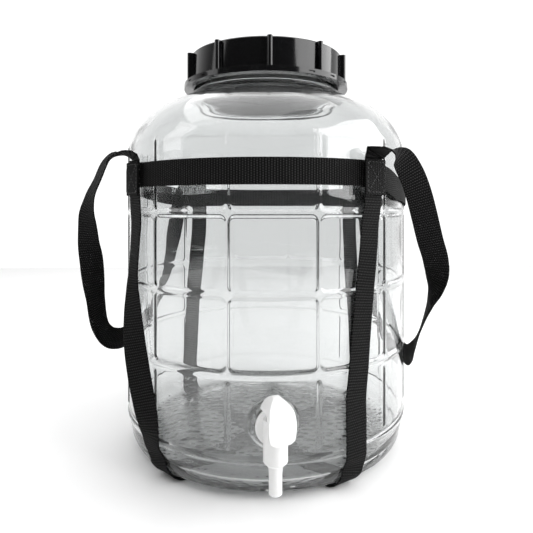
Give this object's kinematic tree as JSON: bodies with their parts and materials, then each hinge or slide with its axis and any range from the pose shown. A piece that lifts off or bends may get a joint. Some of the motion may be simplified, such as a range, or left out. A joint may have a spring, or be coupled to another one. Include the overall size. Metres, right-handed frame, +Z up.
{
  "type": "glass jar with screw lid, tap and webbing carrying harness",
  "caption": "Large ribbed clear glass jar with a wide screw lid, a white plug tap near its base and a black webbing harness whose side handles hang down.",
  "frame": {"origin": "on the jar's axis, at the floor it stands on", "axes": "+Z up along the jar's axis; -Y is the front, where the tap is; +X is to the right as seen from the front"},
  "size_m": [0.3114, 0.2979, 0.3599],
  "materials": {
    "clear_glass": "clear, polished, stippled base",
    "black_plastic": "gloss",
    "liner_foam": "soft foam",
    "white_plastic": "gloss",
    "gasket_rubber": "soft, white",
    "black_webbing": "woven"
  },
  "bodies": {
    "jar": {"glass_jar": "clear_glass", "tap_body": "white_plastic", "tap_outer_gasket": "gasket_rubber", "tap_inner_gasket": "gasket_rubber", "tap_nut": "white_plastic", "front_band": "black_webbing", "rear_band": "black_webbing", "strap_front_right": "black_webbing", "strap_front_left": "black_webbing", "left_handle": "black_webbing", "right_handle": "black_webbing", "tab_front_left": "black_webbing", "tab_front_right": "black_webbing", "tab_rear_left": "black_webbing", "tab_rear_right": "black_webbing"},
    "liner": {"lid_liner": "liner_foam"},
    "lid": {"lid": "black_plastic"},
    "tap_plug": {"tap_plug": "white_plastic"}
  },
  "joints": [
    {"name": "lid_lift", "type": "slide", "parent": "jar", "child": "liner", "axis": [0, 0, 1], "range_m": [0, 0.08]},
    {"name": "lid_turn", "type": "hinge", "parent": "liner", "child": "lid", "pos_m": [0, 0, 0.3544], "axis": [0, 0, 1], "range_deg": [0, 450]},
    {"name": "tap_turn", "type": "hinge", "parent": "jar", "child": "tap_plug", "pos_m": [0, -0.15, 0.059], "axis": [0, 0, -1], "range_deg": [0, 90]}
  ]
}
